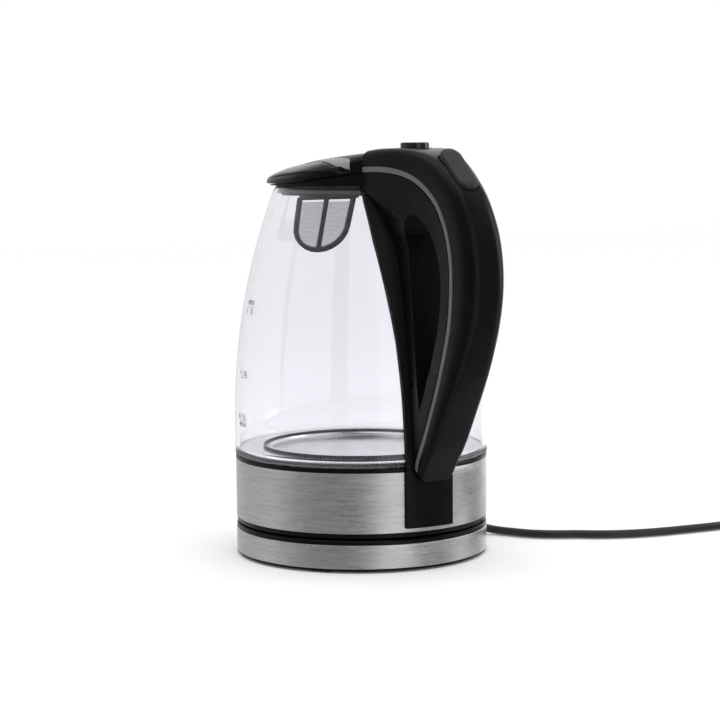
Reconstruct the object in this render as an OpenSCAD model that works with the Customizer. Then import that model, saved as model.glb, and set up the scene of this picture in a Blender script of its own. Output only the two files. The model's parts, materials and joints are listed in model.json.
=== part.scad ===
// Cordless electric kettle on a round power base.
// Origin on the base axis at the table, handle towards +X, spout towards -X, lead leaving towards +Y. Millimetres.

/* [Jug] */
// outer diameter of the steel bands
body_d = 160; // [150:1:170]
// thickness of the glass wall
glass_t = 2.6; // [2:0.1:3.2]
// height of the steel band of the jug
jug_band_h = 37; // [34:0.5:38]
// how far the glass wall comes in between its foot and its neck
shoulder_in = 25.4; // [25:0.1:25.8]

/* [Base] */
// height of the steel band of the base
base_band_h = 14.6; // [14:0.1:14.8]
// thickness of both steel bands
band_t = 0.5; // [0.4:0.1:0.5]
// height of the rubber feet
foot_h = 1.2; // [0.8:0.1:1.2]

/* [Handle] */
// half width of the grip
grip_half_w = 14.5; // [14:0.1:15]
// wall thickness of the handle shells
shell_t = 2.4; // [2:0.1:2.6]
// width of the grey trim strip
trim_w = 3.8; // [3:0.1:4]

/* [Moving parts] */
// diameter of the lid button
button_d = 17.6; // [16:0.1:18]
// width of the power rocker
rocker_w = 14; // [12:0.5:14.5]
// length of the power rocker
rocker_l = 35; // [33:0.5:36]

/* [Lead] */
// diameter of the mains lead
cord_d = 5.4; // [5:0.1:5.6]

/* [Hidden] */
$fn = 96;
body_r = body_d / 2;
base_band_z0 = 2.6;
base_band_z1 = base_band_z0 + base_band_h;
base_top_z = 20;
seat_z = 22;
jug_band_z0 = 24.2;
jug_band_z1 = jug_band_z0 + jug_band_h;
ring_top_z = 64;
glass_z0 = 67;
glass_z1 = 233;
collar_z0 = 226.8;
lid_slope = 3;
lid_edge_z0 = 234.4;
lid_edge_lift = 6;
hinge_x = 44.4;
hinge_z = 251;
hinge_pin_r = 1.5;
button_x = 66;
rocker_x = 113.6;
rocker_z = 242.8;
rocker_tilt = 38;
rocker_proud = 3;
button_top_z = 259.4;
filter_lean = 20;
cord_exit_z = 7;
plug_y = 313.8;
plug_z = 19;
pin_gap = 19;
pin_r = 2.4;

// outer radius of the glass at a height
function glass_r(z) = body_r + 0.4 - shoulder_in * pow(max(0, (z - 85) / 143), 2.06);
// height of the lid's lower edge above a point on the long axis
function lid_edge_z(x) = lid_edge_z0 + lid_edge_lift * pow(max(0, x / 46), 1.6);
// height of the ridge of the lid above a point on the long axis
function lid_ridge_z(x) = 238.6 + x * tan(lid_slope) + lid_rise(x);
// how sharply the lid's flanks fall away, less so towards the hinge
function lid_fall(x) = 1.2 - 0.6 * max(0, x) / 48;
function last(v) = v[len(v) - 1];
// one point of a smooth curve through a list of points
function curve_pt(p, i, t) =
    let (a = p[max(0, i - 1)], b = p[i], c = p[i + 1], d = p[min(len(p) - 1, i + 2)])
    0.5 * ((2 * b) + (c - a) * t + (2 * a - 5 * b + 4 * c - d) * t * t + (3 * b - 3 * c + d - a) * t * t * t);
function curve(p, n) = concat([for (i = [0:len(p) - 2]) for (k = [0:n - 1]) curve_pt(p, i, k / n)], [last(p)]);
function unit(v) = v / norm(v);

// parting line of the handle, as x and z, from the seam at the lid to the tip at the foot
part_line = [[48.3, 243], [58, 243.2], [68, 242.8], [78, 241.3], [88, 238.2], [97, 233.6], [105.5, 227.6],
    [113, 220.3], [119.6, 210], [123.6, 199.8], [125.8, 189.5], [126.3, 178.5], [125.8, 166.5],
    [124.2, 154], [121, 141.8], [117, 130], [112.2, 117.6], [106.8, 105.4], [101.3, 94], [95.2, 82.6],
    [88.8, 72.4], [84.8, 64.5], [83.6, 57.5]];
// ridge of the outer shell opposite each point of the parting line
ridge_line = [[48.3, 254.6], [58, 255.5], [70, 255.7], [82, 254.9], [95, 252.2], [107, 247.4], [118, 239.6],
    [127.6, 230.2], [135, 219], [140.8, 206.5], [144.2, 192.5], [145.2, 178], [143.8, 163.5],
    [140.2, 149.5], [134.4, 135.5], [128.3, 122.5], [121, 109.5], [113.8, 97.5], [107.5, 86.5],
    [101.4, 76], [95, 67], [90.5, 60.5], [87.6, 55.5]];
// half width of the handle at each of these points, as a share of the grip's
width_line = [1.82, 1.72, 1.55, 1.35, 1.18, 1.08, 1.02, 1, 1, 1, 1, 1, 1, 1, 1, 1, 0.99, 0.98, 0.97, 0.94, 0.9, 0.86, 0.8];
// edge of the hand opening on the grip side, from the top of the opening down
hand_line = [[80, 205], [83, 213], [89, 216.5], [97, 213.5], [106, 205], [112.6, 193], [115.9, 179], [115.6, 166],
    [113.4, 153], [109.6, 140], [104.6, 127], [99.4, 115], [95, 105], [91.6, 98.5]];

module ring(ro, ri, z0, z1) {
    translate([0, 0, z0])
        difference() {
            cylinder(r = ro, h = z1 - z0);
            translate([0, 0, -1])
                cylinder(r = ri, h = z1 - z0 + 2);
        }
}

module disc(r, z0, z1) {
    translate([0, 0, z0])
        cylinder(r = r, h = z1 - z0);
}

// shape drawn in x and z, made solid from -half to +half in y
module side_prism(points, half) {
    rotate([90, 0, 0])
        translate([0, 0, -half])
            linear_extrude(height = 2 * half)
                polygon(points);
}

// shape drawn in y and z, made solid between two x positions
module front_prism(points, x0, x1) {
    translate([x0, 0, 0])
        rotate([90, 0, 90])
            linear_extrude(height = x1 - x0)
                polygon(points);
}

module slot_shape(l, w, h) {
    hull()
        for (s = [-1, 1])
            translate([s * (l - w) / 2, 0, 0])
                cylinder(d = w, h = h, $fn = 32);
}

// solid through a list of rings that all have the same number of points
module loft(rings) {
    n = len(rings[0]);
    m = len(rings);
    polyhedron(
        points = [for (r = rings) each r],
        faces = concat(
            [[for (k = [0:n - 1]) k]],
            [for (i = [0:m - 2]) for (k = [0:n - 1])
                [i * n + k, (i + 1) * n + k, (i + 1) * n + (k + 1) % n, i * n + (k + 1) % n]],
            [[for (k = [n - 1:-1:0]) (m - 1) * n + k]]
        )
    );
}

// round tube swept along a list of points
function tube_dir(p, i) = unit(p[min(len(p) - 1, i + 1)] - p[max(0, i - 1)]);
function tube_ring(c, d, r, n) =
    let (s = unit(cross(d, [0, 0, 1])), u = cross(s, d))
    [for (k = [0:n - 1]) c + r * (cos(360 * k / n) * s - sin(360 * k / n) * u)];
module tube(path, r, n) {
    loft([for (i = [0:len(path) - 1]) tube_ring(path[i], tube_dir(path, i), r, n)]);
}

// ---- power base ----

module base_lower_shell() {
    color("#1b1b1d")
        difference() {
            rotate_extrude()
                polygon([[0, foot_h], [40, foot_h], [40.6, foot_h + 0.6], [57.4, foot_h + 0.6], [58, foot_h], [body_r - 0.4, foot_h],
                    [body_r - 0.1, foot_h + 0.4], [body_r - 0.1, base_band_z0], [body_r - 0.6, base_band_z0],
                    [body_r - 0.6, base_band_z1 - 0.4], [body_r - 2.8, base_band_z1 - 0.4], [body_r - 2.8, 3.2],
                    [0, 3.2]]);
            translate([0, 60, cord_exit_z])
                rotate([-90, 0, 0])
                    cylinder(r = 4.1, h = 30);
            for (a = [30, 150, 270])
                rotate(a)
                    translate([27, 0, 0]) {
                        cylinder(r = 3.8, h = 2.4, $fn = 32);
                        cylinder(r = 1.7, h = 6, $fn = 32);
                    }
        }
}

module base_steel_band() {
    color("#b9b9bd")
        difference() {
            ring(body_r, body_r - band_t, base_band_z0, base_band_z1);
            translate([0, 60, cord_exit_z])
                rotate([-90, 0, 0])
                    cylinder(r = 4.1, h = 30);
        }
}

module base_upper_shell() {
    color("#1b1b1d")
        difference() {
            union() {
                rotate_extrude()
                    polygon([[17.6, 21], [38, 21], [40, seat_z], [56, seat_z], [62, base_top_z],
                        [body_r - 0.8, base_top_z], [body_r - 0.2, base_top_z - 0.6], [body_r - 0.2, base_band_z1],
                        [body_r - 3, base_band_z1], [body_r - 3, 14], [body_r - 5, 14], [body_r - 5, 18], [61, 18],
                        [55, 20], [41, 20], [39, 19], [17.6, 19]]);
                for (a = [30, 150, 270])
                    rotate(a)
                        translate([27, 0, 3.3])
                            cylinder(r = 3.6, h = 16, $fn = 32);
            }
            for (a = [30, 150, 270])
                rotate(a)
                    translate([27, 0, 0])
                        cylinder(r = 1.55, h = 15.5, $fn = 32);
        }
}

module base_feet() {
    color("#2a2a2c") {
        for (a = [-50, 40, 130, 220])
            rotate([0, 0, a - 5])
                rotate_extrude(angle = 10)
                    polygon([[70, 0], [76.6, 0], [77.2, foot_h], [69.4, foot_h]]);
        cylinder(r1 = 9, r2 = 9.6, h = foot_h);
    }
}

module base_screws() {
    color("#8d8f93")
        for (a = [30, 150, 270])
            rotate(a)
                translate([27, 0, 0])
                    difference() {
                        union() {
                            translate([0, 0, 1])
                                cylinder(r = 3.2, h = 1.4, $fn = 32);
                            cylinder(r = 1.5, h = 14, $fn = 32);
                        }
                        translate([0, 0, -1])
                            cylinder(r = 5, h = 2, $fn = 32);
                        translate([0, 0, 0.9])
                            cylinder(r = 1.2, h = 0.9, $fn = 6);
                    }
}

module base_connector() {
    color("#e4e2dc")
        rotate_extrude()
            polygon([[2.9, 12], [21, 12], [21, 18.9], [17.2, 18.9], [17.2, 22], [13, 22], [13, 35.2], [12.2, 36],
                [10, 36], [10, 20], [8, 20], [8, 36], [3.6, 36], [2.9, 35.2]]);
}

module base_contacts() {
    color("#c8a24a") {
        ring(9.8, 8.2, 20, 21.6);
        ring(2.8, 2.3, 12, 22);
    }
}

module base_earth_ring() {
    color("#c8a24a")
        ring(13.5, 13.05, 24, 28);
}

module base_wires() {
    for (i = [0:2])
        color(["#6b4a2c", "#3f5f9b", "#5b8f3a"][i])
            tube(curve([[7 - 7 * i, 66, 6.5], [8 - 8 * i, 63, 12], [8 - 8 * i, 50, 14], [7 - 7 * i, 38, 15], [6 - 6 * i, 21.2, 15]], 3), 0.9, 8);
}

module cord_clamp() {
    color("#1b1b1d")
        difference() {
            translate([-9, 66.5, 3.3])
                cube([18, 7, 8.6]);
            translate([0, 60, cord_exit_z])
                rotate([-90, 0, 0])
                    cylinder(r = 3.2, h = 20, $fn = 32);
            translate([-8, 60, 5.2])
                cube([16, 20, 2.6]);
        }
}

module cord_strain_relief() {
    color("#161617")
        difference() {
            translate([0, 0, cord_exit_z])
                rotate([-90, 0, 0])
                    rotate_extrude()
                        polygon([[2.9, 74], [6, 74], [6, body_r - 3.3], [3.95, body_r - 3.3], [3.95, body_r + 0.4],
                            [4.9, body_r + 0.6], [4.9, body_r + 2], [3.9, body_r + 9], [2.9, body_r + 9]]);
            translate([-10, 70, -2])
                cube([20, body_r - 72.9, 5.3]);
        }
}

// ---- lead and plug ----

lead_route = [[0, body_r - 13, 7], [0, body_r - 4, 7], [0.2, body_r + 5, 6.6], [2, body_r + 12, 4.6], [7, 99, 3.2], [17, 104.5, 2.9],
    [30, 112, 2.9], [40, 123, 2.9], [48, 136, 2.9], [57.5, 149, 2.9], [65, 164, 2.9], [70.5, 184, 2.9],
    [73.5, 208, 2.9], [75.6, 234, 2.9], [76.4, 258, 2.9], [76.4, 279, 2.9]];
tail_route = [[111, plug_y + 0.2, 7.4], [119, plug_y, 8.6], [127, plug_y, 12.4], [134, plug_y, 16.6], [141, plug_y, 19], [146, plug_y, 19]];

module mains_lead() {
    color("#1a1a1b") {
        tube(curve(lead_route, 3), cord_d / 2, 12);
        tube(curve(tail_route, 3), cord_d / 2, 12);
    }
}

module lead_coil() {
    color("#1a1a1b")
        translate([110, 280, 0])
            rotate_extrude()
                polygon([[28.2, 0.1], [33.8, 0.1], [35.9, 1], [36.6, 2.9], [35.8, 4.9], [33.6, 7.2], [33, 9.4], [31, 10.2],
                    [29, 9.4], [28.4, 7.2], [26.2, 4.9], [25.4, 2.9], [26.1, 1]]);
}

module plug_body() {
    color("#1a1a1b")
        translate([0, plug_y, plug_z])
            difference() {
                union() {
                    rotate([0, 90, 0])
                        rotate_extrude()
                            polygon([[2.8, 141.5], [4.6, 141.5], [5.4, 150], [9, 151], [15.5, 156], [17.4, 160], [17.4, 164], [18.6, 165.6],
                                [18.6, 177.4], [18, 178], [2.8, 178], [2.8, 177.8], [0, 177.8], [0, 147], [2.8, 147]]);
                    for (s = [-1, 1])
                        translate([161, s * 14, -6])
                            cube([15, 4.4, 12]);
                }
                for (s = [-1, 1]) {
                    translate([162, s * 18.6 - 1, -3])
                        cube([20, 2, 6]);
                    rotate([0, 90, 0])
                        translate([0, s * pin_gap / 2, 160])
                            cylinder(r = pin_r - 0.2, h = 20);
                }
            }
}

module plug_pins() {
    color("#c9cacc")
        for (s = [-1, 1])
            translate([0, plug_y + s * pin_gap / 2, plug_z])
                rotate([0, 90, 0])
                    rotate_extrude()
                        polygon([[0, 160], [pin_r - 0.2, 160], [pin_r - 0.2, 178], [pin_r, 178], [pin_r, 195.6], [pin_r - 1, 197],
                            [0, 197]]);
}

module plug_earth_clips() {
    color("#c8a24a")
        for (s = [-1, 1])
            translate([163, plug_y + s * 17.9 - 0.25, plug_z - 2.6])
                cube([15, 0.5, 5.2]);
}

// ---- foot of the jug ----

module handle_screw_holes() {
    for (z = [34, 50])
        translate([60, 0, z])
            rotate([0, 90, 0])
                cylinder(r = 1.6, h = 22.4, $fn = 24);
}

module jug_bottom_cover() {
    color("#1b1b1d")
        difference() {
            union() {
                rotate_extrude()
                    polygon([[20.3, seat_z], [body_r - 4, seat_z], [body_r - 3.4, 21.2], [body_r - 1, 21.2], [body_r - 0.6, 21.6],
                        [body_r - 0.1, jug_band_z0], [body_r - 0.7, jug_band_z0], [body_r - 0.7, ring_top_z - 3.6],
                        [body_r - 3, ring_top_z - 3.6], [body_r - 3, 24.4], [20.3, 24.4]]);
                for (a = [90, 210, 330])
                    rotate(a)
                        translate([64, 0, 24])
                            cylinder(r = 4, h = 34, $fn = 32);
            }
            for (a = [90, 210, 330])
                rotate(a)
                    translate([64, 0, 20]) {
                        cylinder(r = 1.55, h = 36, $fn = 32);
                        cylinder(r = 3.6, h = 3.6, $fn = 32);
                    }
            handle_screw_holes();
        }
}

module jug_steel_band() {
    color("#b9b9bd")
        difference() {
            ring(body_r, body_r - band_t, jug_band_z0, jug_band_z1);
            handle_screw_holes();
        }
}

module band_top_ring() {
    color("#1b1b1d")
        rotate_extrude()
            polygon([[70, 60.6], [body_r - 3.4, 60.6], [body_r - 3.4, jug_band_z1 + 0.1], [body_r - 0.3, jug_band_z1 + 0.1],
                [body_r - 0.1, jug_band_z1 + 0.4], [body_r - 0.2, ring_top_z - 0.4], [body_r - 0.6, ring_top_z], [70, ring_top_z]]);
}

module glass_seal() {
    color("#d9dde0")
        difference() {
            ring(body_r + 0.1, body_r - 7, ring_top_z, glass_z0);
            for (a = [0:10:350])
                rotate(a)
                    translate([body_r + 0.5, 0, ring_top_z - 1])
                        cylinder(r = 1, h = 5, $fn = 6);
        }
}

module glass_vessel() {
    heights = [glass_z0, 85, 98, 110, 122, 134, 146, 158, 170, 182, 193, 203, 212, 220, 228, glass_z1];
    color("#dfe4f0", 0.35)
        intersection() {
            difference() {
                union() {
                    rotate_extrude($fn = 144)
                        polygon(concat([[0, glass_z0]], [for (z = heights) [glass_r(z), z]], [[0, glass_z1]]));
                    translate([-43, 0, 205])
                        rotate([0, -26, 0])
                            cylinder(r = 14, h = 40);
                }
                rotate_extrude($fn = 144)
                    polygon(concat([[0, glass_z0 - 1], [glass_r(glass_z0) - glass_t, glass_z0 - 1]],
                        [for (z = heights) [glass_r(z) - glass_t, z]],
                        [[glass_r(glass_z1) - glass_t, glass_z1 + 1], [0, glass_z1 + 1]]));
                translate([-43, 0, 205])
                    rotate([0, -26, 0])
                        translate([0, 0, -2])
                            cylinder(r = 14 - glass_t + 0.4, h = 50);
            }
            disc(100, glass_z0, glass_z1);
        }
}

module heating_plate() {
    color("#d0d0d2")
        rotate_extrude()
            polygon([[0, 64.6], [60.4, 64.6], [60.8, 65], [60.8, glass_z0], [body_r - 2.8, glass_z0], [body_r - 2.8, glass_z0 + 1],
                [60, glass_z0 + 1], [59.6, glass_z0 + 0.6], [59.6, 65.6], [0, 65.6]]);
}

module heat_spreader() {
    color("#a9abad")
        disc(55, 61, 64.6);
}

module heating_element() {
    color("#8b8d90") {
        rotate([0, 0, 20])
            rotate_extrude(angle = 320)
                translate([44, 57.4])
                    circle(r = 3.6, $fn = 32);
        for (a = [20, 340])
            rotate(a)
                translate([44, 0, 46])
                    cylinder(r = 2, h = 11, $fn = 24);
    }
}

module jug_connector() {
    color("#e4e2dc")
        rotate_extrude()
            polygon([[2.4, 38], [2.4, 40], [0, 40], [0, 46], [20, 46], [20, 26.4], [24, 26.4], [24, 24.5], [20, 24.5], [20, 22.4],
                [19.4, 22], [14.2, 22], [14.2, 38], [9.7, 38], [9.7, 41], [8.3, 41], [8.3, 38]]);
}

module jug_contacts() {
    color("#c8a24a") {
        ring(9.5, 8.5, 26, 41);
        translate([0, 0, 24.5])
            cylinder(r1 = 1.6, r2 = 2.2, h = 1.4);
        disc(2.2, 25.9, 40);
    }
}

module thermostat_control() {
    color("#efe9d8")
        difference() {
            union() {
                disc(22, 46, 53);
                translate([14, -9, 46])
                    cube([16, 18, 7]);
            }
            for (s = [-1, 1])
                translate([0, s * 14, 50])
                    cylinder(r = 6.2, h = 4);
        }
}

module thermostat_discs() {
    color("#c9b178")
        for (s = [-1, 1])
            translate([0, s * 14, 0])
                disc(6, 50, 61);
}

module bottom_screws() {
    color("#8d8f93")
        for (a = [90, 210, 330])
            rotate(a)
                translate([64, 0, 0])
                    difference() {
                        union() {
                            disc(3.2, 22, 23.6);
                            disc(1.5, 23.6, 38);
                        }
                        translate([0, 0, 21.9])
                            cylinder(r = 1.2, h = 1, $fn = 6);
                    }
}

// ---- neck ----

module collar_space(grow) {
    disc(56 + grow, glass_z1 + 0.3 - grow, 246);
}

// everything below the lid's lower edge moved down by a drop
module under_lid(drop) {
    side_prism(concat([[-90, 200], [70, 200]], [for (x = [70:-7:0]) [x, lid_edge_z(x) - drop]], [[-90, lid_edge_z0 - drop]]), 80);
}

module neck_collar() {
    color("#19191b") {
        difference() {
            intersection() {
                rotate_extrude()
                    polygon([[45.4, collar_z0], [49, collar_z0], [49, glass_z1 + 0.3], [51, glass_z1 + 0.3], [51, 244], [45.4, 244]]);
                under_lid(2);
            }
            translate([-60, -16, 231])
                cube([11, 32, 20]);
        }
        difference() {
            intersection() {
                ring(56, 51, glass_z1 + 0.3, 244);
                under_lid(0.5);
            }
            translate([-70, -16, 231])
                cube([40, 32, 20]);
            translate([44, -6, 240])
                cube([20, 12, 5]);
        }
    }
}

module collar_seal() {
    color("#c9c6c2")
        difference() {
            rotate_extrude()
                polygon([[49.1, 228], [glass_r(228) - glass_t - 0.1, 228], [glass_r(230.2) - glass_t - 0.1, 230.2],
                    [glass_r(232.4) - glass_t - 0.1, 232.4], [49.1, 232.4]]);
            translate([-60, -17, 220])
                cube([22, 34, 20]);
        }
}

// ---- handle ----

// direction across the parting line, from the frame to the shell
function across(i) = unit(ridge_line[i] - part_line[i]);
function half_w(i) = grip_half_w * width_line[i];
function reverse(v) = [for (k = [len(v) - 1:-1:0]) v[k]];
// points of the shell's section, as distance across the handle and distance out from the parting line
function round_section(w, l, r) = concat(
    [[-w, 0]],
    [for (k = [0:5]) [-w + r - r * cos(18 * k), l - r + r * sin(18 * k)]],
    [for (k = [0:5]) [w - r + r * sin(18 * k), l - r + r * cos(18 * k)]],
    [[w, 0]]);
function shell_ring(i) =
    let (a = across(i), l = norm(ridge_line[i] - part_line[i]) - trim_w / 2, w = half_w(i),
        r = min(8.5, 0.6 * l), t = min(shell_t, 0.38 * l), p = part_line[i] + a * trim_w / 2,
        s = concat(round_section(w, l, r), reverse(round_section(w - t, l - t, max(0.8, r - t)))))
    [for (q = s) [p[0] + a[0] * q[1], q[0], p[1] + a[1] * q[1]]];
function trim_ring(i, side) =
    let (a = across(i), p = part_line[i], w = half_w(i), h = trim_w / 2 - 0.05)
    [for (q = [[w - 2.2, -h], [w - 0.2, -h], [w + 0.1, 0.4 - h], [w + 0.1, h - 0.4], [w - 0.2, h], [w - 2.2, h]])
        [p[0] + a[0] * q[1], side * q[0], p[1] + a[1] * q[1]]];

module rocker_place(extra) {
    translate([rocker_x, 0, rocker_z])
        rotate([0, rocker_tilt, 0])
            translate([0, 0, -4])
                rotate([0, extra, 0])
                    translate([0, 0, 4])
                        children();
}

// outline of the handle seen from above
module handle_plan(inset) {
    side = concat([for (i = [0:7]) [part_line[i][0], half_w(i) - inset]], [[150, grip_half_w - inset]]);
    translate([0, 0, 40])
        linear_extrude(height = 220)
            polygon(concat(side, [for (p = reverse(side)) [p[0], -p[1]]]));
}

module handle_outer_shell() {
    color("#1c1c1e")
        difference() {
            loft([for (i = [len(part_line) - 1:-1:0]) shell_ring(i)]);
            translate([button_x, 0, 246])
                cylinder(d = button_d + 0.8, h = 20);
            rocker_place(0)
                translate([0, 0, -9])
                    slot_shape(rocker_l + 1.4, rocker_w + 1, 30);
        }
}

module handle_trim() {
    color("#616165")
        for (s = [-1, 1])
            loft([for (i = [0:len(part_line) - 1]) s > 0 ? trim_ring(i, 1) : reverse(trim_ring(i, -1))]);
}

// solid of the kettle body that the handle is fitted against
module body_space(grow) {
    heights = [20, 64, 66.9, 85, 98, 110, 122, 134, 146, 158, 170, 182, 193, 203, 212, 220, 228, 233.2];
    rotate_extrude()
        polygon(concat([[0, 20]], [for (z = heights) [(z < 66 ? body_r : glass_r(z)) + grow, z]], [[0, 233.2]]));
}

module handle_frame() {
    inner_edge = [for (i = [0:len(part_line) - 1]) part_line[i] - across(i) * (trim_w / 2 + 0.05)];
    flange = [[16.5, 27], [16.6, 70], [18, 105], [20, 140], [23, 170], [26, 200], [27, 222], [27, 233.1]];
    sides = [[11.6, 50], [13, 70], [grip_half_w, 100], [grip_half_w, 196], [18, 212], [26.5, 230], [26.5, 250]];
    cavity = [[48, 247], [48, 238.6], [70, 237.4], [84, 234], [94, 229.6], [103, 222], [110, 212.6], [116.4, 200], [119.4, 189],
        [120, 178], [119.4, 166.6], [117.4, 152.6], [113, 138], [107.6, 124], [101.4, 111], [97, 104], [112, 104], [126, 140],
        [134, 180], [124, 215], [100, 244], [80, 247]];
    color("#18181a")
        difference() {
            union() {
                intersection() {
                    side_prism(concat(inner_edge, [[78, 57], [78, 120], [56, 200], [50, 225], [48.3, 233.4]]), 30);
                    handle_plan(0);
                    front_prism(concat(sides, [for (p = reverse(sides)) [-p[0], p[1]]]), 40, 150);
                }
                intersection() {
                    difference() {
                        body_space(2.8);
                        disc(100, 0, 26);
                    }
                    front_prism(concat(flange, [for (p = reverse(flange)) [-p[0], p[1]]]), 20, 120);
                }
                intersection() {
                    body_space(8);
                    front_prism([[8.5, 62], [10.5, 80], [11.5, 233], [-11.5, 233], [-10.5, 80], [-8.5, 62]], 20, 120);
                }
            }
            body_space(0.2);
            disc(100, 0, 26);
            collar_space(0.3);
            side_prism(curve(hand_line, 2), 40);
            intersection() {
                side_prism(cavity, 30);
                handle_plan(shell_t);
            }
            handle_screw_holes();
        }
}

module handle_screws() {
    color("#8d8f93")
        for (z = [34, 50])
            translate([0, 0, z])
                rotate([0, 90, 0]) {
                    translate([0, 0, body_r - 5])
                        cylinder(r = 3, h = 1.6, $fn = 24);
                    translate([0, 0, body_r - 3.4])
                        cylinder(r = 1.5, h = 5.6, $fn = 24);
                }
}

module steam_duct() {
    color("#d8d4cc")
        difference() {
            translate([57, 8.6, 239])
                cube([20, 8, 6]);
            translate([50, 10, 240.4])
                cube([40, 5.2, 3.2]);
        }
}

module steam_disc() {
    color("#c9b178")
        translate([78.4, 11, 242.6])
            rotate([0, 90, 0])
                cylinder(r = 4.6, h = 0.8);
}

module switch_block() {
    color("#ece6d4")
        rocker_place(0)
            difference() {
                union() {
                    translate([-8, -7, -21])
                        cube([16, 14, 8.6]);
                    for (y = [-7.4, 6.3])
                        translate([-3, y, -16])
                            cube([6, 1.1, 13.7]);
                }
                translate([-2.6, 0, -18])
                    cylinder(r = 1.6, h = 8, $fn = 24);
                translate([0, 20, -4])
                    rotate([90, 0, 0])
                        cylinder(r = 1.52, h = 40);
            }
}

module handle_wires() {
    color("#7a4a30")
        for (s = [-1, 1])
            tube(curve([[105, 4 * s, 220.6], [111.6, 4 * s, 211.4], [117.4, 4 * s, 199], [120.4, 4 * s, 188], [121, 4 * s, 178], [120.6, 4 * s, 166],
                [118.6, 4 * s, 151.6], [114.4, 4 * s, 137], [109, 4 * s, 123], [102.4, 4 * s, 109]], 2), 0.6, 8);
}

// ---- filter ----

module filter_place() {
    translate([-40.6, 0, 226.2])
        rotate([0, filter_lean, 0])
            children();
}

module filter_outline(inset, h) {
    w = 21 - inset;
    front_prism(concat([[w + 0.8, -2 - inset / 3], [w, -22]], [for (a = [15:15:165]) [w * cos(a), -22 - (18 - inset) * sin(a)]],
        [[-w, -22], [-w - 0.8, -2 - inset / 3]]), -h / 2, h / 2);
}

module filter_frame() {
    color("#1d1d20") {
        filter_place() {
            difference() {
                filter_outline(0, 2.4);
                filter_outline(3, 3);
            }
            translate([-1.2, -1.3, -37.6])
                cube([2.4, 2.6, 34.8]);
        }
        intersection() {
            ring(45.3, 42.5, 223.8, collar_z0 + 4);
            translate([-60, -21.6, 220])
                cube([30, 43.2, 12]);
        }
    }
}

module filter_mesh() {
    color("#c9c9cd")
        filter_place()
            for (s = [-1, 1])
                intersection() {
                    filter_outline(3.05, 0.5);
                    translate([-2, s > 0 ? 1.35 : -41.35, -60])
                        cube([4, 40, 60]);
                }
}

// ---- hinge and latch ----

module hinge_bracket() {
    color("#19191b")
        difference() {
            union() {
                for (y = [-18, 14]) {
                    translate([hinge_x, y + 4, hinge_z])
                        rotate([90, 0, 0])
                            cylinder(r = 2.6, h = 4);
                    translate([hinge_x, y, hinge_z - 2])
                        cube([7, 4, 3]);
                }
                translate([49.4, -18, 248])
                    cube([3, 36, 4]);
            }
            translate([hinge_x, 30, hinge_z])
                rotate([90, 0, 0])
                    cylinder(r = hinge_pin_r + 0.02, h = 60);
        }
}

module hinge_pin() {
    color("#b5b7ba")
        translate([hinge_x, 18.4, hinge_z])
            rotate([90, 0, 0])
                cylinder(r = hinge_pin_r, h = 36.8);
}

module latch_guide() {
    color("#222225")
        difference() {
            translate([56, -7.4, 239])
                cube([20, 14.8, 9.2]);
            translate([50, -5.3, 238])
                cube([40, 10.6, 9]);
            translate([button_x, 0, 240])
                cylinder(r = 3.4, h = 20, $fn = 32);
        }
}

module latch_slider() {
    color("#2c2c30")
        difference() {
            translate([49.2, -5, 240.6])
                cube([22, 10, 3]);
            translate([49, -6, 242.2])
                rotate([0, -35, 0])
                    translate([-6, 0, 0])
                        cube([8, 12, 6]);
        }
}

module lid_button() {
    color("#0e0e10")
        translate([button_x, 0, 0])
            rotate_extrude()
                polygon([[0, 246.4], [3, 246.4], [3, 253.2], [5.4, 253.2], [5.4, 251.6], [button_d / 2 - 1.4, 251.6], [button_d / 2, 253],
                    [button_d / 2, button_top_z - 1.2], [button_d / 2 - 0.4, button_top_z - 0.5], [button_d / 2 - 1.2, button_top_z - 0.1],
                    [0, button_top_z]]);
}

module button_spring() {
    color("#9a9ca0")
        translate([button_x, 0, 0])
            tube([for (a = [0:30:1440]) [4.2 * cos(a), 4.2 * sin(a), 248.9 + 3.7 * a / 1440]], 0.4, 6);
}

// ---- lid ----

function lid_half_len(x) = x < 0 ? 71 : 54;
function lid_half_w(x) = 54 * sqrt(max(0.0004, 1 - pow(x / lid_half_len(x), 2)));
function lid_rise(x) = x < 0 ? 13 * pow(max(0, 1 - pow(-x / 71, 1.6)), 0.9) : 13 + 0.4 * x / 48;
function lid_slice(x, w, top) =
    let (e = lid_edge_z(x) + 1.5)
    concat([[x, -w, lid_edge_z(x)]],
        [for (k = [0:16]) [x, -w * cos(11.25 * k), e + (top - e) * pow(sin(11.25 * k), lid_fall(x))]],
        [[x, w, lid_edge_z(x)]]);
// one section of the lid across its long axis
function lid_section(x) =
    lid_slice(x, lid_half_w(x), lid_ridge_z(x));
// last sections, rounded about the hinge
function lid_rear_section(k) =
    let (x = hinge_x + 3.2 * sin(30 * k))
    lid_slice(x, lid_half_w(x), hinge_z + 3.2 * cos(30 * k));

module lid_solid() {
    loft(concat([for (k = [3:-1:0]) lid_rear_section(k)], [for (x = [36, 27, 18, 9, 0]) lid_section(x)],
        [for (k = [14:-1:0]) lid_section(-71 * cos(6 * k))]));
}

module lid_top() {
    color("#1a1a1c")
        difference() {
            lid_solid();
            disc(33, 220, 243.4);
            disc(44.5, 220, 236);
            for (s = [-1, 1]) {
                translate([hinge_x - 3.2, s * 16 - 2.4, hinge_z - 3.2])
                    cube([12, 4.8, 20]);
            }
            translate([44, -4.5, 241.2])
                cube([10, 9, 2.2]);
            translate([hinge_x, 18.6, hinge_z])
                rotate([90, 0, 0])
                    cylinder(r = hinge_pin_r + 0.05, h = 37.2);
        }
}

// crescent in plan on one flank of the lid
inlay_plan = concat(curve([[4, 39], [17, 36], [30, 31], [41, 24]], 3), curve([[41.6, 28], [31, 36], [18, 40.4], [5, 40]], 3));

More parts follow.
